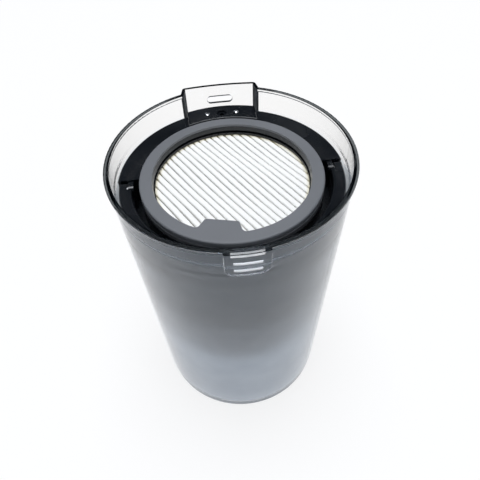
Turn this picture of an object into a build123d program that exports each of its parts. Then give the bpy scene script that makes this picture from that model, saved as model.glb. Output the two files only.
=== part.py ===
from build123d import *
import os
from math import radians, tan

# Cyclone dust bin of a cordless stick vacuum: a clear cup, a cyclone that lifts out of it by a
# folding handle, and a pleated filter that drops into the top of the cyclone.
# Millimetres, +Z up. The origin is the middle of the cup's underside, the latch pad is at the
# front (-Y) and the hook pocket at the rear (+Y).

# Cup
cup_height = 168.0       # table to rim
rim_radius = 56.0        # outside of the rim bead
rim_width = 2.4          # flat top of the rim, from the mouth to the outside
rim_height = 1.8
rim_overhang = 1.0       # the bead stands out this far from the wall below it
rim_rounding = 0.3
cup_wall = 2.4
cup_draft = 2.8          # the wall's outside comes in this much down to the foot
cup_floor = 2.6
foot_height = 6.6        # ring that the cup stands on
foot_step = 0.4          # the ring stands in this far under the wall
foot_rounding = 0.8
wall_edge_rounding = 0.3
floor_rounding = 4.0
mouth_depth = 9.0        # straight bore that takes the vacuum's motor head
mouth_step = 0.3         # below the mouth the bore narrows to the cyclone's seat
mouth_lead = 1.5         # height of the cone that guides the cyclone from the mouth into its seat
seat_depth = 22.0        # rim to the ledge that carries the cyclone

# Hook pocket at the rear of the rim
pocket_width = 38.4      # across its outer corners
pocket_reach = 2.8       # beyond the rim bead
pocket_crown = 1.3       # bulge of its outer face
pocket_flare = 10.7      # degrees, its sides open towards the cup
pocket_wall = 1.6
pocket_depth = 19.5      # rim to its floor
pocket_floor = 2.0
pocket_ramp = 6.0        # slope under its floor back to the wall
pocket_rounding = 1.8
slot_width = 13.8
slot_height = 4.0
slot_drop = 8.2          # rim to the middle of the slot

# Latch pad at the front of the rim
latch_width = 18.2
latch_height = 13.3
latch_reach = 1.1        # beyond the rim bead
latch_rounding = 4.2
latch_edge = 0.5
latch_rib_width = 11.0
latch_rib_height = 1.1
latch_rib_reach = 0.6
latch_rib_rounding = 0.4
latch_rib_drop = 4.9     # rim to the upper rib
latch_rib_pitch = 4.1
latch_recess_width = 12.8
latch_recess_depth = 1.6
latch_recess_length = 2.2
latch_recess_wall = 0.9  # lip left between the recess and the mouth

# Inlet port in the rear wall
inlet_width = 26.0
inlet_height = 20.0
inlet_wall = 3.0
inlet_rounding = 5.0
inlet_drop = 47.0        # rim to the middle of the port
inlet_reach = 2.0        # its flat face stands out this far from the wall

# Clearances
slide_gap = 0.35         # between pieces of different bodies
fit_gap = 0.1            # between pieces that stay together

# Top frame of the cyclone
flange_height = 10.0     # ledge to the top of the frame
spigot_length = 9.0      # below the ledge
spigot_gap = 0.5         # to the cup's wall
spigot_wall = 3.6
groove_depth = 2.0
groove_height = 3.4
groove_drop = 2.6        # ledge to the top of the groove
seal_reach = 0.3         # the seal's lip beyond the spigot
handle_thickness = 5.5
handle_width = 6.0
handle_inset = 0.5       # inside the frame's outer edge
handle_relief = 0.2      # its top below the frame's top
handle_rounding = 1.2
finger_gap = 3.7         # between the handle and the filter's rim
deck_plate = 2.0         # floor under the handle's channel and the finger trough
trough_depth = 7.0       # finger trough between the handle and the filter, below the channel
pivot_y = 0.3
knuckle_offset = 2.6     # clear of the filter's recess
knuckle_width = 2.5
knuckle_radius = 2.2
pin_radius = 1.3
pin_bite = 1.7           # length of the pin inside the knuckle
pin_running_gap = 0.2
frame_edge_rounding = 0.6
seat_wall = 1.9
seat_floor = 2.2

# Key block on the rear of the frame
block_width = 35.9
block_overhang = 1.6     # beyond the frame, into the hook pocket
block_rise = 1.7         # above the frame
block_drop = 6.0         # into the frame's notch
block_rounding = 1.0
block_edge = 0.5
block_screw_pitch = 15.4
block_screw_inset = 7.1  # from the block's rear edge
block_screw_radius = 0.8
block_screw_length = 11.0
block_screw_sink = 0.7   # head's recess in the block
block_head_radius = 1.3
block_head_height = 0.9
block_head_dome = 0.6
block_socket_radius = 2.7
block_socket_depth = 0.9
block_eye_radius = 1.1   # hole in the middle of the socket
block_eye_depth = 2.6

# Cage screws, and the bosses of all screws
screw_radius = 1.25
screw_head_radius = 2.3
boss_radius = 3.0

# Filter
filter_rim_rise = 1.5    # above the frame
filter_rim_height = 5.5
filter_rim_width = 5.8   # flat top of the rim
filter_rim_rounding = 0.8
filter_rim_groove = 0.6
filter_shoulder = 2.5    # width of the rim's seat outside the filter's tube
filter_body_depth = 14.0
filter_tube_wall = 1.8
collar_overlap = 0.85    # the collar inside the soft rim stands on the tube's wall
collar_slope = 0.4       # its inner wall comes in this much towards the pleats
collar_groove = 0.8      # depth of the groove above the lip
collar_groove_height = 1.1
media_lip = 0.8          # lip over the pleats, inside the rim
media_lip_height = 1.1
filter_turn = -14.1      # degrees, the tab points this far off the front
tab_root_width = 20.2
tab_tip_width = 14.4
tab_length = 6.9
tab_thickness = 1.2      # also of the rim's top over the collar
tab_rounding = 1.2
tab_root_rounding = 2.0
guard_thickness = 1.6
guard_lip = 1.0
guard_bar = 1.4
guard_bar_pitch = 9.0
pleat_pitch = 3.2
pleat_sheet = 2.6        # height of the folded sheet's edge
pleat_turn = 45.0        # degrees between the pleats and the tab

# Shroud, mesh and inner cone
shroud_wall = 2.6
shroud_deck = 2.5
band_height = 6.0        # lower band of the cage
mesh_height = 34.0
mesh_thickness = 0.4
mesh_inset = 0.4         # below the bands' outside
mesh_rows = 3
mesh_columns = 40
mesh_slot_width = 4.2
mesh_bridge = 2.4        # solid edge above, below and between the rows
post_count = 8
post_width = 4.0
cage_screw_count = 4
cage_screw_start = 45.0  # degrees
cage_screw_inset = 4.45  # from the cage's inner wall
cage_screw_length = 12.0
finder_plate = 2.0
finder_radius = 15.0
finder_wall = 1.5
finder_length = 30.0
gasket_thickness = 1.2
gasket_width = 3.0
cone_clearance = 1.45    # between the cone's flange and the screw bosses
cone_flange = 3.0        # the cone's flange beyond its wall
cone_flange_thickness = 2.0
cone_wall = 1.6
cone_straight = 18.0
cone_taper = 52.0
cone_tip_radius = 9.0
cone_slot_count = 3
cone_slot_width = 9.0
cone_slot_height = 11.0
deck_gap = 1.0           # round the cone where it passes the cage's deck

# Fine dust cup under the mesh
fine_wall = 1.8
fine_rim_height = 6.5
fine_rim_wall = 1.8
fine_ledge = 2.2         # width of the ledge that carries the seal
fine_body_height = 34.0
fine_body_draft = 1.6
fine_dome_height = 15.0
fine_tip_radius = 12.0
fine_shoulder_rounding = 12.0
fine_tip_rounding = 8.0
fine_seal_thickness = 1.5
grip_count = 24
grip_radius = 0.9

# Cup, worked out
mouth_radius = rim_radius - rim_width
seat_radius = mouth_radius - mouth_step
wall_top_radius = rim_radius - rim_overhang
foot_radius = wall_top_radius - cup_draft
rim_underside = cup_height - rim_height
mouth_floor = cup_height - mouth_depth
ledge_z = cup_height - seat_depth
floor_radius = foot_radius - cup_wall
pocket_face = rim_radius + pocket_reach
pocket_corner = pocket_face - pocket_crown
pocket_floor_z = cup_height - pocket_depth
latch_radius = rim_radius + latch_reach
inlet_z = cup_height - inlet_drop


def wall_radius(height):
    """Outside radius of the cup's drafted wall at a height above the table."""
    return wall_top_radius - cup_draft * (rim_underside - height) / rim_underside


ledge_radius = wall_radius(ledge_z) - cup_wall
inlet_face = wall_radius(inlet_z) + inlet_reach

# Cyclone, worked out from the ledge up and then from the frame down
frame_radius = seat_radius - slide_gap
frame_top = ledge_z + flange_height
spigot_base = ledge_z - spigot_length
spigot_radius = wall_radius(spigot_base) - cup_wall - spigot_gap
spigot_inside = spigot_radius - spigot_wall
groove_top = ledge_z - groove_drop
groove_base = groove_top - groove_height
groove_radius = spigot_radius - groove_depth
handle_top = frame_top - handle_relief
handle_base = handle_top - handle_thickness
channel_floor = handle_base - slide_gap
trough_floor = channel_floor - trough_depth
core_top = trough_floor - deck_plate
rear_core_top = channel_floor - deck_plate
handle_outside = frame_radius - handle_inset
handle_inside = handle_outside - handle_width
pivot_z = handle_base + handle_thickness / 2
lug_radius = handle_thickness / 2
hinge_line = pivot_y + lug_radius + slide_gap
filter_rim_radius = handle_inside - finger_gap
recess_radius = filter_rim_radius + slide_gap
filter_rim_top = frame_top + filter_rim_rise
shelf_z = filter_rim_top - filter_rim_height
filter_tube_radius = filter_rim_radius - filter_shoulder
seat_bore = filter_tube_radius + slide_gap
filter_base = shelf_z - filter_body_depth
seat_floor_z = filter_base - slide_gap
frame_base = seat_floor_z - seat_floor
seat_outside = seat_bore + seat_wall
knuckle_inner = recess_radius + knuckle_offset
knuckle_outer = knuckle_inner + knuckle_width
lug_inner = knuckle_outer + slide_gap
lug_outer = handle_outside - handle_rounding / 4
pin_end = lug_outer - slide_gap

block_radius = frame_radius + block_overhang
block_top = frame_top + block_rise
block_floor = frame_top - block_drop
block_front = recess_radius + seat_wall
block_screw_y = block_radius - block_screw_inset
block_screw_seat = block_top - block_screw_sink
block_screw_end = block_screw_seat - block_screw_length

cage_radius = seat_outside
cage_inside = cage_radius - shroud_wall
finder_top = frame_base
gasket_top = finder_top - finder_plate
cone_top = gasket_top - gasket_thickness
deck_top = cone_top - cone_flange_thickness
deck_base = deck_top - shroud_deck
mesh_radius = cage_radius - mesh_inset
mesh_base = deck_base - mesh_height
band_base = mesh_base - band_height
screw_circle = cage_inside - cage_screw_inset
cone_flange_radius = screw_circle - boss_radius - cone_clearance
cone_radius = cone_flange_radius - cone_flange
finder_plate_radius = cage_inside - fit_gap
cage_screw_end = seat_floor_z - cage_screw_length
fine_seal_top = band_base
fine_ledge_z = fine_seal_top - fine_seal_thickness
fine_socket = cage_radius + fit_gap
fine_rim_radius = fine_socket + fine_rim_wall
fine_rim_top = fine_ledge_z + fine_rim_height + fine_seal_thickness
fine_body_radius = fine_socket - fine_ledge + fine_wall
fine_low_radius = fine_body_radius - fine_body_draft
fine_dome_z = fine_ledge_z - fine_body_height
fine_base = fine_dome_z - fine_dome_height

filter_rim_inside = filter_rim_radius - filter_rim_width
filter_tube_inside = filter_tube_radius - filter_tube_wall
media_radius = filter_tube_inside - fit_gap
guard_base = filter_base + guard_lip
media_base = guard_base + guard_thickness
media_lip_z = shelf_z - fit_gap
media_top = media_lip_z - fit_gap
collar_radius = filter_tube_inside + collar_overlap
collar_top = filter_rim_top - tab_thickness - fit_gap
collar_groove_z = media_lip_z + media_lip_height
collar_foot_z = collar_groove_z + collar_groove_height
filter_plane = Plane.XY.rotated((0, 0, filter_turn))
tab_tip_y = filter_rim_inside - tab_length


def pocket_outline():
    """Plan of the hook pocket: flared sides, a gently bulging outer face and rounded corners."""
    corner_x = pocket_width / 2
    root_y = mouth_radius / 2
    root_x = corner_x + (pocket_corner - root_y) * tan(radians(pocket_flare))
    with BuildSketch() as plan:
        with BuildLine():
            Polyline((-corner_x, pocket_corner), (-root_x, root_y), (root_x, root_y),
                     (corner_x, pocket_corner))
            ThreePointArc((corner_x, pocket_corner), (0, pocket_face), (-corner_x, pocket_corner))
        make_face()
        fillet(plan.vertices().group_by(Axis.Y)[-1], pocket_rounding)
    return plan.sketch


def front_band(outline, inner_radius, outer_radius):
    """Stretch of a ring about the cup's axis that has the given outline when seen from the front."""
    with BuildPart() as band:
        extrude(Plane.XZ * outline, amount=outer_radius + rim_width)
        with BuildSketch():
            Circle(outer_radius)
            Circle(inner_radius, mode=Mode.SUBTRACT)
        extrude(amount=cup_height, mode=Mode.INTERSECT)
    return band.part


with BuildSketch() as latch_outline:
    with Locations((0, cup_height - latch_height / 2)):
        Rectangle(latch_width, latch_height)
    fillet(latch_outline.vertices().group_by(Axis.Y)[0], latch_rounding)

with BuildPart() as latch_pad:
    add(front_band(latch_outline.sketch, mouth_radius, latch_radius))
    pad_edges = latch_pad.faces().sort_by(Axis.Y)[0].edges().sort_by(Axis.Z)
    fillet(pad_edges[:-1], latch_edge)

with BuildPart() as latch_ribs:
    with BuildSketch(Plane.XZ) as rib_sections:
        rib_radius = latch_radius + latch_rib_reach
        for step in range(2):
            with Locations((rib_radius, cup_height - latch_rib_drop - step * latch_rib_pitch)):
                Rectangle(rim_width, latch_rib_height, align=(Align.MAX, Align.CENTER))
        fillet(rib_sections.vertices().group_by(Axis.X)[-1], latch_rib_rounding)
    revolve(axis=Axis.Z)
    with Locations((0, -rib_radius, cup_height)):
        Box(latch_rib_width, rib_radius, 2 * cup_height, mode=Mode.INTERSECT)

with BuildSketch() as latch_recess:
    with Locations((0, cup_height - latch_recess_depth / 2)):
        Rectangle(latch_recess_width, latch_recess_depth)

# Dust cup: the outside first, then everything that is hollow
with BuildPart() as dust_cup:
    with BuildSketch(Plane.XZ):
        with BuildLine():
            Polyline((0, 0), (foot_radius - foot_step, 0), (foot_radius - foot_step, foot_height),
                     (wall_radius(foot_height), foot_height), (wall_top_radius, rim_underside),
                     (rim_radius, rim_underside), (rim_radius, cup_height), (0, cup_height), close=True)
        make_face()
    revolve(axis=Axis.Z)
    fillet(dust_cup.edges().group_by(Axis.Z)[0], foot_rounding)
    wall_edge = dust_cup.edges().filter_by_position(Axis.Z, foot_height, foot_height)
    fillet(wall_edge.sort_by(SortBy.RADIUS)[-1], wall_edge_rounding)
    outer_circles = dust_cup.edges().filter_by(GeomType.CIRCLE).group_by(SortBy.RADIUS)[-1]
    fillet(outer_circles, rim_rounding)

    pocket_base = pocket_floor_z - pocket_floor
    with BuildSketch(Plane.XY.offset(pocket_base)):
        add(pocket_outline())
    extrude(amount=cup_height - pocket_base)
    with BuildSketch(Plane.YZ):
        ramp_y = wall_radius(pocket_base)
        with BuildLine():
            Polyline((ramp_y, pocket_base), (pocket_face + rim_width, pocket_base),
                     (pocket_face + rim_width, pocket_base + pocket_ramp), close=True)
        make_face()
    extrude(amount=pocket_width, both=True, mode=Mode.SUBTRACT)

    with BuildSketch(Plane.XZ.offset(-inlet_face)):
        with Locations((0, inlet_z)):
            RectangleRounded(inlet_width + 2 * inlet_wall, inlet_height + 2 * inlet_wall,
                             inlet_rounding + inlet_wall)
    extrude(amount=inlet_face / 2)
    add(latch_pad.part)
    add(latch_ribs.part)

    with BuildSketch(Plane.XZ) as hollow:
        with BuildLine():
            Polyline((0, cup_floor), (floor_radius, cup_floor), (ledge_radius, ledge_z),
                     (seat_radius, ledge_z), (seat_radius, mouth_floor - mouth_lead),
                     (mouth_radius, mouth_floor), (mouth_radius, cup_height), (0, cup_height), close=True)
        make_face()
        fillet(hollow.vertices().sort_by_distance((floor_radius, cup_floor))[0], floor_rounding)
    revolve(axis=Axis.Z, mode=Mode.SUBTRACT)
    with BuildSketch(Plane.XY.offset(pocket_floor_z)):
        add(pocket_outline())
        offset(amount=-pocket_wall, kind=Kind.INTERSECTION)
    extrude(amount=pocket_depth, mode=Mode.SUBTRACT)
    with BuildSketch(Plane.XZ.offset(-pocket_face - rim_width)):
        with Locations((0, cup_height - slot_drop)):
            SlotOverall(slot_width, slot_height)
    extrude(amount=pocket_wall + pocket_crown + 2 * rim_width, mode=Mode.SUBTRACT)
    with BuildSketch(Plane.XZ.offset(-inlet_face)):
        with Locations((0, inlet_z)):
            RectangleRounded(inlet_width, inlet_height, inlet_rounding)
    extrude(amount=inlet_face / 2, mode=Mode.SUBTRACT)
    recess_inner = mouth_radius + latch_recess_wall
    recess_outer = recess_inner + latch_recess_length
    add(front_band(latch_recess.sketch, recess_inner, recess_outer), mode=Mode.SUBTRACT)


def block_plan(front_radius, side_gap):
    """Plan of the key block: a stretch of ring between two straight sides, grown by a gap."""
    reach = block_radius + side_gap
    with BuildSketch() as plan:
        Circle(reach)
        Circle(front_radius, mode=Mode.SUBTRACT)
        with Locations((0, reach / 2)):
            Rectangle(block_width + 2 * side_gap, reach, mode=Mode.INTERSECT)
    return plan.sketch


block_screw_places = [(-block_screw_pitch / 2, block_screw_y), (block_screw_pitch / 2, block_screw_y)]

# Top frame: ledge flange, sealed spigot, filter seat, handle channel and hinge knuckles
with BuildPart() as top_frame:
    with BuildSketch(Plane.XZ):
        with BuildLine():
            Polyline((finder_radius, seat_floor_z), (seat_bore, seat_floor_z), (seat_bore, shelf_z),
                     (recess_radius, shelf_z), (recess_radius, frame_top), (frame_radius, frame_top),
                     (frame_radius, ledge_z), (spigot_radius, ledge_z), (spigot_radius, groove_top),
                     (groove_radius, groove_top), (groove_radius, groove_base),
                     (spigot_radius, groove_base), (spigot_radius, spigot_base),
                     (spigot_inside, spigot_base), (spigot_inside, core_top), (seat_outside, core_top),
                     (seat_outside, frame_base), (finder_radius, frame_base), close=True)
        make_face()
    revolve(axis=Axis.Z)
    fillet(top_frame.edges().group_by(Axis.Z)[-1].sort_by(SortBy.RADIUS)[-1], frame_edge_rounding)

    # Channel for the handle in front of the hinge line
    with BuildSketch(Plane.XY.offset(channel_floor)):
        Circle(frame_radius + rim_width)
        Circle(recess_radius, mode=Mode.SUBTRACT)
        with Locations((0, hinge_line + frame_radius)):
            Rectangle(3 * frame_radius, 2 * frame_radius, mode=Mode.SUBTRACT)
    extrude(amount=flange_height, mode=Mode.SUBTRACT)
    with BuildSketch(Plane.XY.offset(trough_floor)):
        Circle(handle_inside)
        Circle(recess_radius, mode=Mode.SUBTRACT)
        with Locations((0, hinge_line + frame_radius)):
            Rectangle(3 * frame_radius, 2 * frame_radius, mode=Mode.SUBTRACT)
    extrude(amount=trough_depth, mode=Mode.SUBTRACT)

    # Knuckles that stand forward of the hinge line, each with a blind hole for its pin
    knuckle_top = pivot_z + knuckle_radius
    knuckle_front = pivot_y - knuckle_radius
    knuckle_back = hinge_line + seat_wall
    for side in (-1, 1):
        with BuildSketch(Plane.YZ.offset(side * knuckle_inner)):
            with Locations((pivot_y, pivot_z)):
                Circle(knuckle_radius)
            with BuildLine():
                Polyline((knuckle_front, core_top), (knuckle_back, core_top), (knuckle_back, knuckle_top),
                         (pivot_y, knuckle_top), (pivot_y, pivot_z), (knuckle_front, pivot_z), close=True)
            make_face()
        extrude(amount=side * knuckle_width)
        with BuildSketch(Plane.YZ.offset(side * knuckle_outer)):
            with Locations((pivot_y, pivot_z)):
                Circle(pin_radius + fit_gap / 2)
        extrude(amount=-side * pin_bite, mode=Mode.SUBTRACT)

    # Hollow under the rear of the frame, with bosses for the key block's screws
    with BuildSketch(Plane.XY.offset(core_top)):
        Circle(spigot_inside)
        Circle(seat_outside, mode=Mode.SUBTRACT)
        with Locations((0, knuckle_back - frame_radius)):
            Rectangle(3 * frame_radius, 2 * frame_radius, mode=Mode.SUBTRACT)
        with Locations(block_screw_places):
            Circle(boss_radius, mode=Mode.SUBTRACT)
    extrude(amount=rear_core_top - core_top, mode=Mode.SUBTRACT)

    # Notch for the key block, screw holes in the bosses and in the filter seat's floor
    with BuildSketch(Plane.XY.offset(block_floor)):
        add(block_plan(block_front, fit_gap))
    extrude(amount=block_drop, mode=Mode.SUBTRACT)
    with BuildSketch(Plane.XY.offset(block_floor)):
        with Locations(block_screw_places):
            Circle(block_screw_radius + fit_gap / 2)
    extrude(amount=block_screw_end - block_floor - fit_gap, mode=Mode.SUBTRACT)
    with Locations(Plane.XY.offset(seat_floor_z)):
        with PolarLocations(screw_circle, cage_screw_count, cage_screw_start):
            CounterSinkHole(screw_radius + fit_gap, screw_head_radius + fit_gap, seat_floor)

# Lip seal that closes the gap between the frame's spigot and the cup
with BuildPart() as frame_seal:
    with BuildSketch(Plane.XZ):
        seal_radius = spigot_radius + seal_reach
        seal_back = groove_radius + fit_gap
        seal_middle = (groove_base + groove_top) / 2
        with BuildLine():
            Polyline((seal_back, groove_base + fit_gap), (spigot_radius, groove_base + fit_gap),
                     (seal_radius, seal_middle), (spigot_radius, groove_top - fit_gap),
                     (seal_back, groove_top - fit_gap), close=True)
        make_face()
    revolve(axis=Axis.Z)

# Key block: a deep foot in the frame's notch under a cap that reaches the filter's rim
with BuildPart() as key_block:
    with BuildSketch(Plane.XY.offset(block_floor)):
        add(block_plan(block_front + fit_gap, 0))
    extrude(amount=block_drop)
    with BuildSketch(Plane.XY.offset(frame_top)):
        add(block_plan(recess_radius, 0))
    extrude(amount=block_rise)
    rear_corners = key_block.edges().filter_by(Axis.Z).group_by(SortBy.DISTANCE)[-1]
    fillet(rear_corners, block_rounding)
    fillet(key_block.faces().sort_by(Axis.Z)[-1].edges(), block_edge)
    with Locations(Plane.XY.offset(block_top)):
        with Locations(block_screw_places):
            CounterBoreHole(block_screw_radius + fit_gap, block_head_radius + fit_gap, block_screw_sink)
    with BuildSketch(Plane.XY.offset(block_top)):
        with Locations((0, block_screw_y)):
            RegularPolygon(block_socket_radius, 6)
    extrude(amount=-block_socket_depth, mode=Mode.SUBTRACT)
    with BuildSketch(Plane.XY.offset(block_top)):
        with Locations((0, block_screw_y)):
            Circle(block_eye_radius)
    extrude(amount=-block_eye_depth, mode=Mode.SUBTRACT)

with BuildPart() as block_screws:
    with BuildSketch(Plane.XZ):
        crown = block_head_height + block_head_dome
        with BuildLine():
            TangentArc((0, crown), (block_head_radius, block_head_height), tangent=(1, 0))
            Polyline((block_head_radius, block_head_height), (block_head_radius, 0), (block_screw_radius, 0),
                     (block_screw_radius, -block_screw_length), (0, -block_screw_length), (0, crown))
        make_face()
    block_screw = revolve(axis=Axis.Z, mode=Mode.PRIVATE)
    with Locations(Plane.XY.offset(block_screw_seat)):
        with Locations(block_screw_places):
            add(block_screw)

with BuildPart() as hinge_pins:
    for side in (-1, 1):
        with BuildSketch(Plane.YZ.offset(side * (knuckle_outer - pin_bite))):
            with Locations((pivot_y, pivot_z)):
                Circle(pin_radius)
        extrude(amount=side * (pin_end - knuckle_outer + pin_bite))

# Lift handle: half a ring with a lug at each end, outside the frame's knuckles
with BuildPart() as lift_handle:
    with BuildSketch(Plane.XY.offset(handle_base)):
        Circle(handle_outside)
        Circle(handle_inside, mode=Mode.SUBTRACT)
        with Locations((0, pivot_y + handle_outside)):
            Rectangle(3 * handle_outside, 2 * handle_outside, mode=Mode.SUBTRACT)
    extrude(amount=handle_thickness)
    long_edges = lift_handle.edges().filter_by(GeomType.CIRCLE)
    fillet(long_edges, handle_rounding)
    for side in (-1, 1):
        with BuildSketch(Plane.YZ.offset(side * lug_inner)):
            with Locations((pivot_y, pivot_z)):
                Circle(lug_radius)
        extrude(amount=side * (lug_outer - lug_inner))
        relief_front = pivot_y - lug_radius
        with BuildSketch(Plane.XY.offset(handle_base)):
            with Locations((side * (lug_inner - handle_width / 2), relief_front + lug_radius)):
                Rectangle(handle_width, 2 * lug_radius)
        extrude(amount=handle_thickness, mode=Mode.SUBTRACT)
        with BuildSketch(Plane.YZ.offset(side * lug_inner)):
            with Locations((pivot_y, pivot_z)):
                Circle(pin_radius + pin_running_gap)
        extrude(amount=side * handle_width, mode=Mode.SUBTRACT)

# Shroud cage: upper band and deck, lower band, and posts inside the mesh
with BuildPart() as shroud_cage:
    with BuildSketch(Plane.XZ):
        with BuildLine():
            deck_inside = cone_radius + deck_gap
            Polyline((deck_inside, deck_base), (cage_radius, deck_base), (cage_radius, frame_base),
                     (cage_inside, frame_base), (cage_inside, deck_top), (deck_inside, deck_top), close=True)
        make_face()
        with Locations(((cage_inside + cage_radius) / 2, band_base + band_height / 2)):
            Rectangle(shroud_wall, band_height)
    revolve(axis=Axis.Z)
    with BuildSketch(Plane.XY.offset(mesh_base)):
        with PolarLocations(cage_inside, post_count):
            Rectangle(2 * shroud_wall, post_width)
        Circle(mesh_radius - mesh_thickness - fit_gap, mode=Mode.INTERSECT)
        Circle(cage_inside, mode=Mode.SUBTRACT)
    extrude(amount=mesh_height)
    with BuildSketch(Plane.XY.offset(gasket_top)):
        with PolarLocations(screw_circle, cage_screw_count, cage_screw_start):
            Circle(boss_radius)
    extrude(amount=cage_screw_end - gasket_top - shroud_wall)
    with BuildSketch(Plane.XY.offset(gasket_top)):
        with PolarLocations(screw_circle, cage_screw_count, cage_screw_start):
            Circle(screw_radius + fit_gap / 2)
    extrude(amount=cage_screw_end - gasket_top - fit_gap, mode=Mode.SUBTRACT)

with BuildPart() as mesh_sleeve:
    with BuildSketch(Plane.XY.offset(mesh_base)):
        Circle(mesh_radius)
        Circle(mesh_radius - mesh_thickness, mode=Mode.SUBTRACT)
    extrude(amount=mesh_height)
    mesh_slot_height = (mesh_height - mesh_bridge) / mesh_rows - mesh_bridge
    for row in range(mesh_rows):
        with BuildSketch(Plane.XY.offset(mesh_base + mesh_bridge + row * (mesh_slot_height + mesh_bridge))):
            with PolarLocations(mesh_radius, mesh_columns):
                Rectangle(4 * mesh_thickness, mesh_slot_width)
        extrude(amount=mesh_slot_height, mode=Mode.SUBTRACT)

with BuildPart() as cage_screws:
    with BuildSketch(Plane.XZ):
        with BuildLine():
            Polyline((0, 0), (screw_head_radius, 0), (screw_radius, screw_radius - screw_head_radius),
                     (screw_radius, -cage_screw_length), (0, -cage_screw_length), close=True)
        make_face()
    screw_body = revolve(axis=Axis.Z, mode=Mode.PRIVATE)
    with Locations(Plane.XY.offset(seat_floor_z)):
        with PolarLocations(screw_circle, cage_screw_count, cage_screw_start):
            add(screw_body)

with BuildPart() as vortex_finder:
    with BuildSketch(Plane.XZ):
        with BuildLine():
            finder_inside = finder_radius - finder_wall
            finder_base = finder_top - finder_length
            Polyline((finder_inside, finder_top), (finder_plate_radius, finder_top),
                     (finder_plate_radius, gasket_top), (finder_radius, gasket_top),
                     (finder_radius, finder_base), (finder_inside, finder_base), close=True)
        make_face()
    revolve(axis=Axis.Z)
    with BuildSketch(Plane.XY.offset(finder_top)):
        with PolarLocations(screw_circle, cage_screw_count, cage_screw_start):
            Circle(screw_radius + fit_gap)
    extrude(amount=-finder_plate, mode=Mode.SUBTRACT)

with BuildPart() as cone_gasket:
    with BuildSketch(Plane.XY.offset(cone_top)):
        Circle(cone_flange_radius)
        Circle(cone_flange_radius - gasket_width, mode=Mode.SUBTRACT)
    extrude(amount=gasket_thickness)

# Inner cone: flange, straight inlet stretch with tangential slots, taper down to the dust outlet
with BuildPart() as inner_cone:
    taper_top = deck_top - cone_straight
    cone_base = taper_top - cone_taper
    with BuildSketch(Plane.XZ):
        with BuildLine():
            Polyline((cone_radius - cone_wall, cone_top), (cone_flange_radius, cone_top),
                     (cone_flange_radius, deck_top), (cone_radius, deck_top), (cone_radius, taper_top),
                     (cone_tip_radius, cone_base), (cone_tip_radius - cone_wall, cone_base),
                     (cone_radius - cone_wall, taper_top), close=True)
        make_face()
    revolve(axis=Axis.Z)
    slot_base = taper_top + (cone_straight - shroud_deck - cone_slot_height) / 2
    with BuildSketch(Plane.XY.offset(slot_base)):
        with PolarLocations(cone_radius - cone_slot_width / 2, cone_slot_count):
            with Locations((0, cone_slot_width)):
                Rectangle(cone_slot_width, 2 * cone_slot_width)
        Circle(cone_radius - cone_wall - finder_wall, mode=Mode.SUBTRACT)
    extrude(amount=cone_slot_height, mode=Mode.SUBTRACT)

with BuildPart() as fine_cup_seal:
    with BuildSketch(Plane.XY.offset(fine_ledge_z)):
        Circle(cage_radius)
        Circle(fine_body_radius - fine_wall, mode=Mode.SUBTRACT)
    extrude(amount=fine_seal_thickness)

# Fine dust cup: drafted wall, coned bottom with soft corners, gripped rim round the cage's band
with BuildPart() as fine_dust_cup:
    with BuildSketch(Plane.XZ) as bowl:
        with BuildLine():
            Polyline((0, fine_base), (fine_tip_radius, fine_base), (fine_low_radius, fine_dome_z),
                     (fine_body_radius, fine_ledge_z), (0, fine_ledge_z), close=True)
        make_face()
        fillet(bowl.vertices().sort_by_distance((fine_low_radius, fine_dome_z))[0], fine_shoulder_rounding)
        fillet(bowl.vertices().sort_by_distance((fine_tip_radius, fine_base))[0], fine_tip_rounding)
    revolve(axis=Axis.Z)
    offset(amount=-fine_wall, openings=fine_dust_cup.faces().sort_by(Axis.Z)[-1])
    with BuildSketch(Plane.XZ):
        fine_rim_base = fine_ledge_z - fine_rim_wall
        fine_inside = fine_body_radius - fine_wall
        with BuildLine():
            Polyline((fine_inside, fine_rim_base), (fine_rim_radius, fine_rim_base),
                     (fine_rim_radius, fine_rim_top), (fine_socket, fine_rim_top),
                     (fine_socket, fine_ledge_z), (fine_inside, fine_ledge_z), close=True)
        make_face()
    revolve(axis=Axis.Z)
    with BuildSketch(Plane.XY.offset(fine_rim_base)):
        with PolarLocations(fine_rim_radius, grip_count):
            Circle(grip_radius)
        Circle((fine_socket + fine_rim_radius) / 2, mode=Mode.SUBTRACT)
    extrude(amount=fine_rim_top - fine_rim_base - grip_radius)

# Pull tab, a tapered tongue that grows out of the inside of the filter's rim
with BuildSketch() as tab_outline:
    Circle(filter_rim_inside + filter_rim_width / 2)
    Circle(filter_rim_inside, mode=Mode.SUBTRACT)
    with BuildLine():
        Polyline((-tab_root_width / 2, -filter_rim_inside), (tab_root_width / 2, -filter_rim_inside),
                 (tab_tip_width / 2, -tab_tip_y), (-tab_tip_width / 2, -tab_tip_y), close=True)
    make_face()
    tab_span = (Axis.Y, -filter_rim_inside, -tab_tip_y / 2)
    fillet(tab_outline.vertices().filter_by_position(*tab_span).sort_by(Axis.Y)[-2:], tab_rounding)
    fillet(tab_outline.vertices().filter_by_position(*tab_span).sort_by(Axis.Y)[:2], tab_root_rounding)

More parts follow.
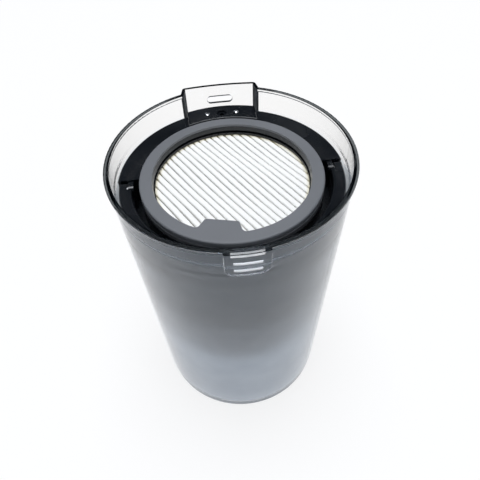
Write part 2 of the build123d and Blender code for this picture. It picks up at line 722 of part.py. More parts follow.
# Filter rim: soft ring with a sealing groove round its outside and the pull tab inside
with BuildPart() as filter_rim:
    with BuildSketch(Plane.XZ) as rim_section:
        groove_middle = shelf_z + filter_rim_height / 2
        with BuildLine():
            Polyline((collar_radius + fit_gap, shelf_z), (filter_rim_radius, shelf_z),
                     (filter_rim_radius, groove_middle - filter_rim_groove),
                     (filter_rim_radius - filter_rim_groove, groove_middle),
                     (filter_rim_radius, groove_middle + filter_rim_groove),
                     (filter_rim_radius, filter_rim_top), (filter_rim_inside, filter_rim_top),
                     (filter_rim_inside, filter_rim_top - tab_thickness),
                     (collar_radius + fit_gap, filter_rim_top - tab_thickness), close=True)
        make_face()
        fillet(rim_section.vertices().group_by(Axis.Y)[-1], filter_rim_rounding)
    revolve(axis=Axis.Z)
    with BuildSketch(filter_plane.offset(filter_rim_top - tab_thickness)):
        add(tab_outline.sketch)
    extrude(amount=tab_thickness)

# Filter frame: tube round the pleats, a lip over them, and a grooved collar inside the soft rim
with BuildPart() as filter_frame:
    with BuildSketch(Plane.XZ):
        with BuildLine():
            guard_lip_radius = filter_tube_inside - filter_tube_wall
            collar_foot = filter_rim_inside - collar_slope
            groove_wall = collar_foot + collar_groove
            lip_radius = filter_rim_inside - media_lip
            Polyline((guard_lip_radius, filter_base), (filter_tube_radius, filter_base),
                     (filter_tube_radius, shelf_z), (collar_radius, shelf_z), (collar_radius, collar_top),
                     (filter_rim_inside, collar_top), (collar_foot, collar_foot_z),
                     (groove_wall, collar_foot_z), (groove_wall, collar_groove_z),
                     (lip_radius, collar_groove_z), (lip_radius, media_lip_z),
                     (filter_tube_inside, media_lip_z), (filter_tube_inside, guard_base),
                     (guard_lip_radius, guard_base), close=True)
        make_face()
    revolve(axis=Axis.Z)

with BuildPart() as filter_guard:
    with BuildSketch(filter_plane.offset(guard_base)):
        Circle(media_radius)
        Circle(media_radius - 2 * guard_bar, mode=Mode.SUBTRACT)
        with GridLocations(guard_bar_pitch, 0, int(2 * media_radius / guard_bar_pitch), 1):
            Rectangle(guard_bar, 2 * media_radius)
        Rectangle(2 * media_radius, guard_bar)
        Circle(media_radius, mode=Mode.INTERSECT)
    extrude(amount=guard_thickness)

# Filter media: one folded sheet, trimmed round
with BuildPart() as filter_media:
    fold_count = 2 * (int(media_radius / pleat_pitch) + 1)
    folds = [(pleat_pitch * (step - fold_count) / 2, media_top if step % 2 else media_base + pleat_sheet)
             for step in range(2 * fold_count + 1)]
    with BuildSketch(Plane.XZ.rotated((0, 0, filter_turn + pleat_turn))):
        with BuildLine():
            underside = [(place, height - pleat_sheet) for place, height in reversed(folds)]
            Polyline(*folds, *underside, close=True)
        make_face()
    extrude(amount=2 * media_radius, both=True)
    with BuildSketch(Plane.XY.offset(media_base)):
        Circle(media_radius)
    extrude(amount=media_top - media_base, mode=Mode.INTERSECT)

pieces = {
    "dust_cup": dust_cup, "top_frame": top_frame, "frame_seal": frame_seal, "key_block": key_block,
    "block_screws": block_screws, "hinge_pins": hinge_pins, "lift_handle": lift_handle,
    "shroud_cage": shroud_cage, "mesh_sleeve": mesh_sleeve, "cage_screws": cage_screws,
    "vortex_finder": vortex_finder, "cone_gasket": cone_gasket, "inner_cone": inner_cone,
    "fine_cup_seal": fine_cup_seal, "fine_dust_cup": fine_dust_cup, "filter_rim": filter_rim,
    "filter_frame": filter_frame, "filter_guard": filter_guard, "filter_media": filter_media,
}
os.makedirs("parts", exist_ok=True)
for name, piece in pieces.items():
    piece.part.label = name
    export_step(piece.part, f"parts/{name}.step")
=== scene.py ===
from math import atan2, cos, pi, radians, sin, sqrt, tan, tanh, tau

import bmesh
import bpy
from mathutils import Matrix, Vector


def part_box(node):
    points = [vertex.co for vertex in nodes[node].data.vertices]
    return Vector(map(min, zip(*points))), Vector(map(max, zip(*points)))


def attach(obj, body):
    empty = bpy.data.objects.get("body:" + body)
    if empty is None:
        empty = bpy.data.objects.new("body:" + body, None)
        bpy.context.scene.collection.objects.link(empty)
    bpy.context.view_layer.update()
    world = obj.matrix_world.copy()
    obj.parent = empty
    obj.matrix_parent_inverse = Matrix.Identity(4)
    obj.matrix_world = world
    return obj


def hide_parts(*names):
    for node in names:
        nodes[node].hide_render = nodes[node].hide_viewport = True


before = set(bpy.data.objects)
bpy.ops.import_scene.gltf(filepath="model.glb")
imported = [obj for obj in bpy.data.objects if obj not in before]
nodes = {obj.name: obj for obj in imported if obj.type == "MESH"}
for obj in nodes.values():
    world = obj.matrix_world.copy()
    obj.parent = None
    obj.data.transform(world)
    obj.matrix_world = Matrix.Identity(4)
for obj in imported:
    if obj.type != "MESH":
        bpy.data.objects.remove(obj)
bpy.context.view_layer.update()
MM = 0.001


def linear(code):
    """Linear colour of an sRGB hex code."""
    levels = [int(code[at:at + 2], 16) / 255 for at in (0, 2, 4)]
    return [*(v / 12.92 if v < 0.04045 else ((v + 0.055) / 1.055) ** 2.4 for v in levels), 1]


def scale_for(size):
    """Scale of a pattern on Object coordinates whose features are this many millimetres wide."""
    return 1 / (size * MM)


def add_node(tree, kind, inputs=None, **settings):
    """Adds a shader node. An input takes a plain value or the output that is linked to it."""
    made = tree.nodes.new(kind)
    for name, value in settings.items():
        setattr(made, name, value)
    for name, value in (inputs or {}).items():
        if isinstance(value, bpy.types.NodeSocket):
            tree.links.new(value, made.inputs[name])
        else:
            made.inputs[name].default_value = value
    return made


def empty_tree(owner):
    """Node tree of a new material or world, without the nodes that come with it."""
    owner.use_nodes = True
    owner.node_tree.nodes.clear()
    return owner.node_tree


def new_material(name):
    """A material, its empty node tree and the place on the piece, in metres."""
    material = bpy.data.materials.new(name)
    tree = empty_tree(material)
    place = add_node(tree, "ShaderNodeTexCoord").outputs["Object"]
    return material, tree, place


# Clear ABS with a smoky tint, moulded in a polished tool: clear as glass face on, with sharp white
# reflections. The rim, the slot's edge, the pocket's cheeks and the ledge under the cyclone are painted
# almost black as shade, with a painted highlight along the rim's crest. Below the mouth dust has scoured
# the inside dull and left a grey film on it, in cloudy patches, with painted shade of the cyclone making
# it darker towards the floor. The latch's ribs and the edges of its pad are matt and painted white as a
# highlight, and the front of the cone under the mouth has a grey band of painted shade. The tint cools
# what the wall reflects.
cup_height = 168 * MM
wall_middle_at_foot = 51.0 * MM     # radius halfway through the wall
wall_middle_at_rim = 53.9 * MM
scour_start = 157 * MM
scour_full = 154 * MM
scour_rise = 11 * MM                # the scour goes up this much at the front
scour_blend = 30 * MM               # distance from the side to the full rise
# How fast the dust film and its painted shade lighten upwards
film_and_shade_fade = 4.0                 # for each metre of height
cone_middle = 158.25 * MM
cone_reach = 1.0 * MM
grip_start = 56.3 * MM              # in front, only the latch pad lies outside this radius
grip_top = 166 * MM                 # above this height the pad is as clear as the rim
pad_radius = 57.1 * MM
pad_margin = 0.08 * MM
# Heights of the edges that are painted dark as shade
edge_level = 167 * MM               # up-facing edges above this height are the rim's
edge_drop = 27 * MM                 # at the pocket and inside, they are dark this much further down
pocket_front = 48 * MM
rim_crest = 54.8 * MM               # radius of the middle of the rim
cheek_haze = 1.8                    # times the haze of the scour
flow_size = 30                      # millimetres, as scale_for takes them
cloud_size = 26
clear_smoke, tree, place = new_material("clear_smoked_abs")
flow = add_node(tree, "ShaderNodeTexNoise", {"Vector": place, "Scale": scale_for(flow_size), "Detail": 1.0})
ripple = add_node(tree, "ShaderNodeBump", {"Height": flow.outputs["Fac"], "Strength": 0.05,
                                           "Distance": 0.1 * MM})
spot = add_node(tree, "ShaderNodeSeparateXYZ", {"Vector": place})
across = add_node(tree, "ShaderNodeCombineXYZ", {"X": spot.outputs["X"], "Y": spot.outputs["Y"]})
radius = add_node(tree, "ShaderNodeVectorMath", {0: across.outputs["Vector"]}, operation="LENGTH")
surface = add_node(tree, "ShaderNodeNewGeometry")
turned = add_node(tree, "ShaderNodeVectorMath", {0: surface.outputs["True Normal"]}, operation="ABSOLUTE")
face = add_node(tree, "ShaderNodeSeparateXYZ", {"Vector": turned.outputs["Vector"]})
# The scoured inside
middle = add_node(tree, "ShaderNodeMapRange", {
    "Value": spot.outputs["Z"], "From Min": 0.0, "From Max": cup_height, "To Min": wall_middle_at_foot,
    "To Max": wall_middle_at_rim})
inside = add_node(tree, "ShaderNodeMath", {0: radius.outputs["Value"], 1: middle.outputs["Result"]},
                  operation="LESS_THAN")
# At the front, where the vacuum's catch slides in, the scour goes up to the rim
front = add_node(tree, "ShaderNodeMapRange", {"Value": spot.outputs["Y"], "From Min": 0.0,
                                              "From Max": -scour_blend})
level = add_node(tree, "ShaderNodeMath", {0: front.outputs["Result"], 1: -scour_rise,
                                          2: spot.outputs["Z"]}, operation="MULTIPLY_ADD")
below_mouth = add_node(tree, "ShaderNodeMapRange", {"Value": level.outputs["Value"],
                                                    "From Min": scour_start, "From Max": scour_full})
scoured = add_node(tree, "ShaderNodeMath", {0: inside.outputs["Value"], 1: below_mouth.outputs["Result"]},
                   operation="MULTIPLY")
# The film is darker towards the floor: painted shade of the cyclone above, laid over the film's cloudy
# patches
clouds = add_node(tree, "ShaderNodeTexNoise", {"Vector": place, "Scale": scale_for(cloud_size),
                                               "Detail": 4.0})
film_and_shade_level = add_node(tree, "ShaderNodeMath", {0: spot.outputs["Z"], 1: film_and_shade_fade,
                                             2: clouds.outputs["Fac"]}, operation="MULTIPLY_ADD")
patches_and_floor_shade = add_node(tree, "ShaderNodeMapRange", {"Value": film_and_shade_level.outputs["Value"], "From Min": 0.5,
                                                "From Max": 1.1})
dust_film_and_painted_shade = add_node(tree, "ShaderNodeMix", {"Factor": patches_and_floor_shade.outputs["Result"], "A": linear("B0BCCA"),
                                        "B": linear("E2EBF4")}, data_type="RGBA")
# The front of the cone under the mouth carries a grey band of painted shade, less clear than the wall
at_cone = add_node(tree, "ShaderNodeMath", {0: spot.outputs["Z"], 1: cone_middle, 2: cone_reach},
                   operation="COMPARE")
cone_side = add_node(tree, "ShaderNodeMath", {0: inside.outputs["Value"], 1: front.outputs["Result"]},
                     operation="MULTIPLY")
painted_cone_shade = add_node(tree, "ShaderNodeMath", {0: at_cone.outputs["Value"], 1: cone_side.outputs["Value"]},
                  operation="MULTIPLY")
dust_and_painted_shade = add_node(tree, "ShaderNodeMix", {"Factor": painted_cone_shade.outputs["Value"], "A": dust_film_and_painted_shade.outputs["Result"],
                                          "B": linear("62686E")}, data_type="RGBA")
body = add_node(tree, "ShaderNodeMix", {"Factor": scoured.outputs["Value"], "A": linear("FFFFFF"),
                                        "B": dust_and_painted_shade.outputs["Result"]}, data_type="RGBA")
# The ribs and edges of the latch pad, matt and painted white as a highlight: all that is outside the rim
# but the pad's own face
in_front = add_node(tree, "ShaderNodeMath", {0: spot.outputs["Y"], 1: 0.0}, operation="LESS_THAN")
outside = add_node(tree, "ShaderNodeMath", {0: radius.outputs["Value"], 1: grip_start},
                   operation="GREATER_THAN")
pad_face = add_node(tree, "ShaderNodeMath", {0: radius.outputs["Value"], 1: pad_radius, 2: pad_margin},
                    operation="COMPARE")
off_face = add_node(tree, "ShaderNodeMath", {0: outside.outputs["Value"], 1: pad_face.outputs["Value"]},
                    operation="SUBTRACT", use_clamp=True)
below_rim = add_node(tree, "ShaderNodeMath", {0: spot.outputs["Z"], 1: grip_top}, operation="LESS_THAN")
grip = add_node(tree, "ShaderNodeMath", {0: off_face.outputs["Value"], 1: below_rim.outputs["Value"]},
                operation="MULTIPLY")
matt_and_painted_highlight = add_node(tree, "ShaderNodeMath", {0: grip.outputs["Value"], 1: in_front.outputs["Value"]},
                operation="MULTIPLY")
painted_highlight_and_shade = add_node(tree, "ShaderNodeMath", {0: matt_and_painted_highlight.outputs["Value"], 1: painted_cone_shade.outputs["Value"]},
                  operation="MAXIMUM")
# Painted shade: edges that are seen along the wall are painted almost black, namely up-facing ones at the
# rim and the pocket, the pocket's cheeks, and the ledge under the cyclone
behind = add_node(tree, "ShaderNodeMath", {0: spot.outputs["Y"], 1: pocket_front},
                  operation="GREATER_THAN")
deep = add_node(tree, "ShaderNodeMath", {0: behind.outputs["Value"], 1: inside.outputs["Value"]},
                operation="MAXIMUM")
lowest = add_node(tree, "ShaderNodeMath", {0: deep.outputs["Value"], 1: -edge_drop, 2: edge_level},
                  operation="MULTIPLY_ADD")
above = add_node(tree, "ShaderNodeMath", {0: spot.outputs["Z"], 1: lowest.outputs["Value"]},
                 operation="GREATER_THAN")
edge = add_node(tree, "ShaderNodeMapRange", {"Value": face.outputs["Z"], "From Min": 0.55,
                                             "From Max": 0.9, "To Max": above.outputs["Value"]})
pocket = add_node(tree, "ShaderNodeMath", {0: behind.outputs["Value"], 1: above.outputs["Value"]},
                  operation="MULTIPLY")
cheek = add_node(tree, "ShaderNodeMapRange", {"Value": face.outputs["X"], "From Min": 0.85,
                                              "From Max": 0.95, "To Max": pocket.outputs["Value"]})
painted_shade_edges = add_node(tree, "ShaderNodeMath", {0: edge.outputs["Result"], 1: cheek.outputs["Result"]},
                 operation="MAXIMUM")
# Painted marks are made nearly opaque: the white highlight on the ribs, the grey shade band on the cone and
# the dark cheeks
opaque = add_node(tree, "ShaderNodeMath", {0: painted_highlight_and_shade.outputs["Value"], 1: cheek.outputs["Result"]},
                  operation="MAXIMUM")
clearness = add_node(tree, "ShaderNodeMapRange", {"Value": opaque.outputs["Value"], "To Min": 1.0,
                                                  "To Max": 0.2})
# Painted light on the rim: paler along its crest as a painted highlight, near black at its corners as
# painted shade
off_crest = add_node(tree, "ShaderNodeMath", {0: radius.outputs["Value"], 1: rim_crest},
                     operation="SUBTRACT")
from_crest = add_node(tree, "ShaderNodeMath", {0: off_crest.outputs["Value"]}, operation="ABSOLUTE")
corner = add_node(tree, "ShaderNodeMapRange", {"Value": from_crest.outputs["Value"], "From Min": 0.7 * MM,
                                               "From Max": 1.0 * MM})
painted_edge_shade = add_node(tree, "ShaderNodeMix", {"Factor": corner.outputs["Result"], "A": linear("2A2E30"),
                                         "B": linear("0E1012")}, data_type="RGBA")
tint_and_painted_shade = add_node(tree, "ShaderNodeMix", {"Factor": painted_shade_edges.outputs["Value"], "A": body.outputs["Result"],
                                        "B": painted_edge_shade.outputs["Result"]}, data_type="RGBA")
dull = add_node(tree, "ShaderNodeMath", {0: scoured.outputs["Value"], 1: matt_and_painted_highlight.outputs["Value"]},
                operation="MAXIMUM")
rough = add_node(tree, "ShaderNodeMath", {0: cheek.outputs["Result"], 1: cheek_haze,
                                          2: dull.outputs["Value"]}, operation="MULTIPLY_ADD")
haze = add_node(tree, "ShaderNodeMapRange", {"Value": rough.outputs["Value"], "To Min": 0.03,
                                             "To Max": 0.36}, clamp=False)
clear = add_node(tree, "ShaderNodeBsdfPrincipled", {
    "Base Color": tint_and_painted_shade.outputs["Result"], "Transmission Weight": clearness.outputs["Result"], "IOR": 1.51,
    "Specular Tint": linear("B4C8E0"), "Roughness": haze.outputs["Result"],
    "Normal": ripple.outputs["Normal"]})
smoke = add_node(tree, "ShaderNodeVolumeAbsorption", {"Color": linear("7C8A98"), "Density": 14.0})
# Lamplight goes straight through the wall, so that the cyclone in the cup is lit
path = add_node(tree, "ShaderNodeLightPath")
lamplight = add_node(tree, "ShaderNodeMath", {0: path.outputs["Is Shadow Ray"],
                                              1: path.outputs["Is Diffuse Ray"]}, operation="MAXIMUM")
open_way = add_node(tree, "ShaderNodeBsdfTransparent", {"Color": linear("EDEFF1")})
shader = add_node(tree, "ShaderNodeMixShader", {0: lamplight.outputs["Value"], 1: clear.outputs["BSDF"],
                                                2: open_way.outputs["BSDF"]})
add_node(tree, "ShaderNodeOutputMaterial", {"Surface": shader.outputs["Shader"],
                                            "Volume": smoke.outputs["Volume"]})


def moulded(name, dark, light, grain_size, depth, shine, dullest, ior):
    """A moulded plastic: two close tones, an even grain from the tool and a shine made uneven by handling.
    The grain's size and depth are in millimetres."""
    handling_size = 22
    material, tree, place = new_material(name)
    grain = add_node(tree, "ShaderNodeTexNoise", {"Vector": place, "Scale": scale_for(grain_size),
                                                  "Detail": 2.0})
    relief = add_node(tree, "ShaderNodeBump", {"Height": grain.outputs["Fac"], "Strength": 0.4,
                                               "Distance": depth * MM})
    handling = add_node(tree, "ShaderNodeTexNoise", {"Vector": place, "Scale": scale_for(handling_size),
                                                     "Detail": 4.0})
    gloss = add_node(tree, "ShaderNodeMapRange", {"Value": handling.outputs["Fac"], "From Min": 0.35,
                                                  "From Max": 0.65, "To Min": shine, "To Max": dullest})
    tone = add_node(tree, "ShaderNodeMix", {"Factor": handling.outputs["Fac"], "A": linear(dark),
                                            "B": linear(light)}, data_type="RGBA")
    shader = add_node(tree, "ShaderNodeBsdfPrincipled", {
        "Base Color": tone.outputs["Result"], "IOR": ior, "Roughness": gloss.outputs["Result"],
        "Normal": relief.outputs["Normal"]})
    add_node(tree, "ShaderNodeOutputMaterial", {"Surface": shader.outputs["BSDF"]})
    return material


# ABS, black, moulded in a spark-eroded tool: satin, with a fine even grain. The grain is drawn at
# 0.9 mm, about twice the real one, so that it shows.
black_abs = moulded("black_abs", "07090D", "0D1116", grain_size=0.9, depth=0.03, shine=0.2,
                    dullest=0.3, ior=1.53)
# ABS, dark grey, from the same kind of tool: a little paler and duller, with dust in its grain.
grey_abs = moulded("dark_grey_abs", "56595D", "64676B", grain_size=0.9, depth=0.06, shine=0.5,
                   dullest=0.62, ior=1.53)
# Thermoplastic elastomer, mid grey, moulded matt: soft, hardly any gloss.
grey_tpe = moulded("grey_elastomer", "66686B", "6F7175", grain_size=1.1, depth=0.05, shine=0.5,
                   dullest=0.62, ior=1.5)
# Nitrile rubber, pressed: black with a dull bloom.
black_rubber = moulded("nitrile_rubber", "191919", "252525", grain_size=1.4, depth=0.05, shine=0.55,
                       dullest=0.75, ior=1.52)

# Glass-fibre filter paper, pleated: white, matt, with loose fibres lying all ways. It is thin enough to
# let light through, so the pleats shade each other little. Along the edge it has soaked up the glue
# that holds it, and looks cream.
fibre_size = 0.8
glue_start = 34.5 * MM      # radius at which the glue begins to show
glue_full = 36.5 * MM
share_through = 0.96        # of the lamplight
white_media, tree, place = new_material("filter_paper")
fibres = add_node(tree, "ShaderNodeTexNoise", {"Vector": place, "Scale": scale_for(fibre_size),
                                               "Detail": 6.0, "Distortion": 2.5})
felt = add_node(tree, "ShaderNodeBump", {"Height": fibres.outputs["Fac"], "Strength": 0.5,
                                         "Distance": 0.15 * MM})
tone = add_node(tree, "ShaderNodeMix", {"Factor": fibres.outputs["Fac"], "A": linear("F8F7F3"),
                                        "B": linear("FFFEFB")}, data_type="RGBA")
spot = add_node(tree, "ShaderNodeSeparateXYZ", {"Vector": place})
across = add_node(tree, "ShaderNodeCombineXYZ", {"X": spot.outputs["X"], "Y": spot.outputs["Y"]})
radius = add_node(tree, "ShaderNodeVectorMath", {0: across.outputs["Vector"]}, operation="LENGTH")
glue = add_node(tree, "ShaderNodeMapRange", {"Value": radius.outputs["Value"], "From Min": glue_start,
                                             "From Max": glue_full})
soaked = add_node(tree, "ShaderNodeMix", {"Factor": glue.outputs["Result"], "A": tone.outputs["Result"],
                                          "B": linear("F1E8C8")}, data_type="RGBA")
shader = add_node(tree, "ShaderNodeBsdfPrincipled", {
    "Base Color": soaked.outputs["Result"], "Roughness": 0.95, "Specular IOR Level": 0.2,
    "Normal": felt.outputs["Normal"]})
path = add_node(tree, "ShaderNodeLightPath")
let_through = add_node(tree, "ShaderNodeMath", {0: path.outputs["Is Shadow Ray"], 1: share_through},
                       operation="MULTIPLY")
open_way = add_node(tree, "ShaderNodeBsdfTransparent")
sheer = add_node(tree, "ShaderNodeMixShader", {0: let_through.outputs["Value"], 1: shader.outputs["BSDF"],
                                               2: open_way.outputs["BSDF"]})
add_node(tree, "ShaderNodeOutputMaterial", {"Surface": sheer.outputs["Shader"]})


def metal(name, dark, light, shine, dullest):
    """A bare or plated metal with fine turning or rolling marks."""
    mark_size = 0.7
    material, tree, place = new_material(name)
    marks = add_node(tree, "ShaderNodeTexNoise", {"Vector": place, "Scale": scale_for(mark_size),
                                                  "Detail": 4.0})
    tone = add_node(tree, "ShaderNodeMix", {"Factor": marks.outputs["Fac"], "A": linear(dark),
                                            "B": linear(light)}, data_type="RGBA")
    gloss = add_node(tree, "ShaderNodeMapRange", {"Value": marks.outputs["Fac"], "From Min": 0.3,
                                                  "From Max": 0.7, "To Min": shine, "To Max": dullest})
    shader = add_node(tree, "ShaderNodeBsdfPrincipled", {
        "Base Color": tone.outputs["Result"], "Metallic": 1.0, "Roughness": gloss.outputs["Result"]})
    add_node(tree, "ShaderNodeOutputMaterial", {"Surface": shader.outputs["BSDF"]})
    return material


# Steel, zinc plated: bright, a little uneven.
steel = metal("zinc_plated_steel", "B9BBBD", "DADBDC", shine=0.2, dullest=0.34)
# Stainless sheet, etched and blackened: dark grey metal with a soft shine.
mesh_steel = metal("blackened_stainless_sheet", "3A3D40", "4A4D51", shine=0.35, dullest=0.5)

finishes = {
    clear_smoke: ("dust_cup",),
    black_abs: ("top_frame", "key_block", "lift_handle", "shroud_cage", "vortex_finder", "filter_frame",
                "filter_guard"),
    grey_abs: ("inner_cone", "fine_dust_cup"),
    grey_tpe: ("filter_rim",),
    black_rubber: ("frame_seal", "cone_gasket", "fine_cup_seal"),
    steel: ("hinge_pins",),
}
for material, names in finishes.items():
    for name in names:
        nodes[name].data.materials.clear()
        nodes[name].data.materials.append(material)


def add_piece(name, shape, material, body, stands_for, crease=35):
    """Makes an object of a bmesh in the row frame. It rides on a body and stands for a CAD node."""
    mesh = bpy.data.meshes.new(name)
    shape.to_mesh(mesh)
    shape.free()
    mesh.materials.append(material)
    mesh.shade_smooth()
    mesh.set_sharp_from_angle(angle=radians(crease))
    piece = bpy.data.objects.new(name, mesh)
    bpy.context.scene.collection.objects.link(piece)
    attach(piece, body)
    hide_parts(stands_for)


# Perforated sleeve: one six-sided cell with a round hole, stacked in a column, spun round the axis and
# welded into one sheet, with a plain edge above and below
low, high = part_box("mesh_sleeve")
sheet_thickness = 0.4 * MM
columns = 110
cell_turn = tau / columns
corners = 6                         # of a cell
cell_width = 2 * high.x * tan(cell_turn / 2)
cell_corner = cell_width / sqrt(3)
cell_side = cell_width / 2
hole_radius = 0.27 * cell_width
outer_corner = 0.485 * cell_corner  # just under the lowest corners of a row's zigzag edge
weld = 0.02 * MM
row_step = 1.5 * cell_corner
rows = int((high.z - low.z - 2 * cell_corner) / row_step)
first_row = (low.z + high.z - (rows - 1) * row_step) / 2
last_row = first_row + (rows - 1) * row_step
shape = bmesh.new()
bmesh.ops.create_circle(shape, segments=2 * corners, radius=hole_radius)
border = bmesh.ops.extrude_edge_only(shape, edges=shape.edges[:])["geom"]
for vert in (part for part in border if isinstance(part, bmesh.types.BMVert)):
    at_corner = cos(corners * atan2(vert.co.x, vert.co.y)) > 0
    vert.co *= (cell_corner if at_corner else cell_side) / hole_radius
bmesh.ops.rotate(shape, verts=shape.verts, matrix=Matrix.Rotation(pi / 2, 3, "X"))
bmesh.ops.translate(shape, verts=shape.verts, vec=(0, -high.x, first_row))
cell = shape.verts[:] + shape.edges[:] + shape.faces[:]
for row in range(1, rows):
    copied = bmesh.ops.duplicate(shape, geom=cell)["geom"]
    verts = [part for part in copied if isinstance(part, bmesh.types.BMVert)]
    bmesh.ops.translate(shape, verts=verts, vec=(0, 0, row * row_step))
    bmesh.ops.rotate(shape, verts=verts, matrix=Matrix.Rotation(row % 2 * cell_turn / 2, 3, "Z"))
bmesh.ops.spin(shape, geom=shape.verts[:] + shape.edges[:] + shape.faces[:], axis=(0, 0, 1),
               angle=tau - cell_turn, steps=columns - 1, use_duplicate=True)
for vert in shape.verts:
    vert.co.xy *= high.x / vert.co.xy.length
bmesh.ops.remove_doubles(shape, verts=shape.verts, dist=weld)
for side, row_z, edge_z in ((1, last_row, high.z), (-1, first_row, low.z)):
    outline = [edge for edge in shape.edges if edge.is_boundary
               and all(side * (vert.co.z - row_z) > outer_corner for vert in edge.verts)]
    for part in bmesh.ops.extrude_edge_only(shape, edges=outline)["geom"]:
        if isinstance(part, bmesh.types.BMVert):
            part.co.z = edge_z
bmesh.ops.recalc_face_normals(shape, faces=shape.faces)
bmesh.ops.solidify(shape, geom=shape.faces[:], thickness=sheet_thickness)
add_piece("perforated_sleeve", shape, mesh_steel, "cyclone", "mesh_sleeve")

# Pleated paper: a sheet folded in a rounded zigzag, trimmed round and given its thickness
low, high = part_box("filter_media")
pleat_pitch = 3.2 * MM
pleat_turn = radians(30.9)
paper_thickness = 0.4 * MM
fold_flatness = 2.2     # steepness of the folds' sides
loop_bulge = 0.28       # share of the pitch by which a fold swells
sway_size = 0.2 * MM    # the folds aren't quite straight
sway_along = 9 * MM     # distances in which the sway turns by one radian
sway_across = 6 * MM
steps_in_pleat = 20
steps_along = 24
trim_cuts = 72
pleats = 2 * (int(high.x / pleat_pitch) + 2)
fold_height = (high.z - low.z - paper_thickness) / 2
shape = bmesh.new()
bmesh.ops.create_grid(shape, x_segments=pleats * steps_in_pleat, y_segments=steps_along,
                      size=pleats * pleat_pitch / 2)
for vert in shape.verts:
    fold = tanh(fold_flatness * sin(tau * vert.co.x / pleat_pitch)) / tanh(fold_flatness)
    bulge = loop_bulge * pleat_pitch * sin(2 * tau * vert.co.x / pleat_pitch)
    sway = sway_size * sin(vert.co.y / sway_along + vert.co.x / sway_across)
    vert.co = (vert.co.x - bulge + sway, vert.co.y, (low.z + high.z) / 2 + fold * fold_height)
bmesh.ops.rotate(shape, verts=shape.verts, matrix=Matrix.Rotation(pleat_turn, 3, "Z"))
for cut in range(trim_cuts):
    outwards = Vector((cos(tau * cut / trim_cuts), sin(tau * cut / trim_cuts), 0))
    bmesh.ops.bisect_plane(shape, geom=shape.verts[:] + shape.edges[:] + shape.faces[:],
                           plane_co=outwards * high.x, plane_no=outwards, clear_outer=True)
bmesh.ops.solidify(shape, geom=shape.faces[:], thickness=paper_thickness)
add_piece("pleated_paper", shape, white_media, "filter", "filter_media", crease=60)


def cross_head_screw(top, head_radius, head_height, shank_radius, length, dome, countersunk):
    """A screw with a cross recess, made from a square of cells. The rim of its head is at height top."""
    cells = 5
    weld = 0.005 * MM
    arm_reach = 0.7 * head_radius
    recess_depth = 0.6 * head_height + dome
    shape = bmesh.new()
    bmesh.ops.create_grid(shape, x_segments=cells, y_segments=cells, size=head_radius)
    arms = []
    for face in shape.faces:
        off_axes = sorted((abs(face.calc_center_median().x), abs(face.calc_center_median().y)))
        if off_axes[0] < head_radius / cells and off_axes[1] < arm_reach:
            arms.append(face)
    for vert in shape.verts:
        if vert.is_boundary:
            vert.co *= head_radius / vert.co.length
        vert.co.z = top + dome * (1 - (vert.co.xy.length / head_radius) ** 2)
    outline = [edge for edge in shape.edges if edge.is_boundary]
    pressed = bmesh.ops.extrude_face_region(shape, geom=arms)["geom"]
    bmesh.ops.delete(shape, geom=arms, context="FACES_ONLY")
    bmesh.ops.translate(shape, verts=[v for v in pressed if isinstance(v, bmesh.types.BMVert)],
                        vec=(0, 0, -recess_depth))
    tip_radius = shank_radius / 4
    for radius, drop in ((head_radius, 0 if countersunk else head_height), (shank_radius, head_height),
                         (shank_radius, length), (tip_radius, length + shank_radius)):
        made = bmesh.ops.extrude_edge_only(shape, edges=outline)["geom"]
        outline = [part for part in made if isinstance(part, bmesh.types.BMEdge)]
        for vert in (part for part in made if isinstance(part, bmesh.types.BMVert)):
            vert.co.xy *= radius / vert.co.xy.length
            vert.co.z = top - drop
    bmesh.ops.edgeloop_fill(shape, edges=outline)
    bmesh.ops.remove_doubles(shape, verts=shape.verts, dist=weld)
    bmesh.ops.recalc_face_normals(shape, faces=shape.faces)
    return shape


# Screws of the key block, with domed heads, and of the cage, with countersunk heads
low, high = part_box("block_screws")
block_head = (high.y - low.y) / 2
block_dome = 0.6 * MM
block_shank = 0.8 * MM
block_length = high.z - low.z - block_dome - block_shank
shape = cross_head_screw(high.z - block_dome, block_head, head_height=0.9 * MM, shank_radius=block_shank,
                         length=block_length, dome=block_dome, countersunk=False)
bmesh.ops.translate(shape, verts=shape.verts, vec=(low.x + block_head, low.y + block_head, 0))
copied = bmesh.ops.duplicate(shape, geom=shape.verts[:] + shape.edges[:] + shape.faces[:])["geom"]
bmesh.ops.translate(shape, verts=[v for v in copied if isinstance(v, bmesh.types.BMVert)],
                    vec=(high.x - low.x - 2 * block_head, 0, 0))
add_piece("block_cross_screws", shape, steel, "cyclone", "block_screws")

low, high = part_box("cage_screws")
cage_head = 2.3 * MM
cage_shank = 1.25 * MM
cage_tip = 1.3 * MM     # the tip's height and a little more, so that it ends just inside the box
shape = cross_head_screw(high.z, cage_head, head_height=1.05 * MM, shank_radius=cage_shank,
                         length=high.z - low.z - cage_tip, dome=0, countersunk=True)
bmesh.ops.translate(shape, verts=shape.verts, vec=(high.x - cage_head, high.y - cage_head, 0))
bmesh.ops.spin(shape, geom=shape.verts[:] + shape.edges[:] + shape.faces[:], axis=(0, 0, 1),
               angle=tau * 3 / 4, steps=3, use_duplicate=True)
add_piece("cage_cross_screws", shape, steel, "cyclone", "cage_screws")

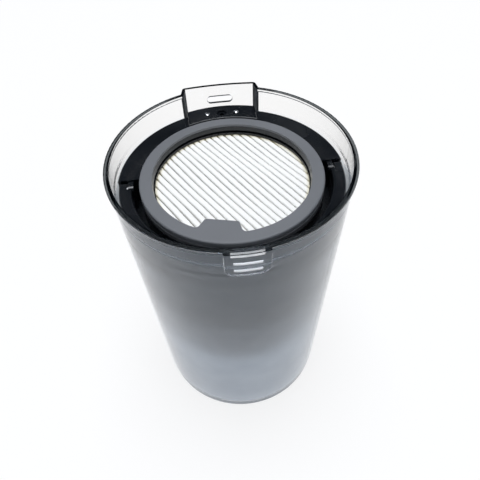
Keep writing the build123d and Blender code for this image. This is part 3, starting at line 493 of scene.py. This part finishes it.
# White paper under the bin. Where it is seen, straight or in gloss or through the clear wall, it is
# mixed with plain white, so that the bin's shadow stays on it but is faint.
plain_share = 0.78
paper, tree = new_material("white_paper")[:2]
shade = add_node(tree, "ShaderNodeBsdfDiffuse", {"Color": linear("FCFCFC")})
path = add_node(tree, "ShaderNodeLightPath")
glance = add_node(tree, "ShaderNodeMath", {0: path.outputs["Is Glossy Ray"],
                                           1: path.outputs["Is Transmission Ray"]}, operation="MAXIMUM")
seen = add_node(tree, "ShaderNodeMath", {0: glance.outputs["Value"],
                                         1: path.outputs["Is Camera Ray"]}, operation="MAXIMUM")
share = add_node(tree, "ShaderNodeMath", {0: seen.outputs["Value"], 1: plain_share}, operation="MULTIPLY")
white = add_node(tree, "ShaderNodeEmission", {"Strength": 1.0})
both = add_node(tree, "ShaderNodeMixShader", {0: share.outputs["Value"], 1: shade.outputs["BSDF"],
                                              2: white.outputs["Emission"]})
add_node(tree, "ShaderNodeOutputMaterial", {"Surface": both.outputs["Shader"]})
floor_reach = 3.0
floor_drop = 0.2 * MM   # the floor lies just under the foot, so that the two don't share a plane
shape = bmesh.new()
bmesh.ops.create_grid(shape, x_segments=1, y_segments=1, size=floor_reach)
bmesh.ops.translate(shape, verts=shape.verts, vec=(0, 0, -floor_drop))
mesh = bpy.data.meshes.new("floor")
shape.to_mesh(mesh)
shape.free()
mesh.materials.append(paper)
floor = bpy.data.objects.new("floor", mesh)
bpy.context.scene.collection.objects.link(floor)

# Room: pale near the floor, darker overhead
world = bpy.data.worlds.new("studio")
bpy.context.scene.world = world
tree = empty_tree(world)
around = add_node(tree, "ShaderNodeTexCoord")
way = add_node(tree, "ShaderNodeSeparateXYZ", {"Vector": around.outputs["Generated"]})
height = add_node(tree, "ShaderNodeMapRange", {"Value": way.outputs["Z"], "From Min": 0.0, "From Max": 0.5},
                  interpolation_type="SMOOTHSTEP")
colour = add_node(tree, "ShaderNodeMix", {"Factor": height.outputs["Result"], "A": linear("E4E8EE"),
                                          "B": linear("343A42")}, data_type="RGBA")
sky = add_node(tree, "ShaderNodeBackground", {"Color": colour.outputs["Result"], "Strength": 1.0})
add_node(tree, "ShaderNodeOutputWorld", {"Surface": sky.outputs["Background"]})

# Soft lamps of cool daylight: name, place, size and power; each points at the top of the bin
lamps = (
    ("overhead_softbox", (0.0, 0.25, 4.0), 2.6, 172.0),
    ("front_fill", (0.7, -1.1, 0.8), 0.8, 1.5),
)
lamp_aim = Vector((0, 0, 0.15))
daylight = linear("F7FAFF")[:3]
for name, place, size, power in lamps:
    lamp = bpy.data.objects.new(name, bpy.data.lights.new(name, "AREA"))
    lamp.data.size = size
    lamp.data.energy = power
    lamp.data.color = daylight
    bpy.context.scene.collection.objects.link(lamp)
    lamp.location = place
    lamp.rotation_euler = (lamp_aim - lamp.location).to_track_quat("-Z", "Y").to_euler()

# Camera at the photograph's viewing angle: above the front of the bin, close to it
camera_place = Vector((-11.1, -151.14, 289.48)) * MM
camera_heading = radians(-5.1)
camera_tilt = radians(39.92)
camera_roll = radians(-2.62)
camera = bpy.data.objects.new("camera", bpy.data.cameras.new("camera"))
bpy.context.scene.collection.objects.link(camera)
camera.data.sensor_width = 36.0
camera.data.lens = 32.25
camera.data.clip_start = 0.01
camera.matrix_world = (Matrix.Translation(camera_place) @ Matrix.Rotation(camera_heading, 4, "Z")
                       @ Matrix.Rotation(camera_tilt, 4, "X") @ Matrix.Rotation(camera_roll, 4, "Z"))
bpy.context.scene.camera = camera

bpy.context.scene.view_settings.view_transform = "Standard"
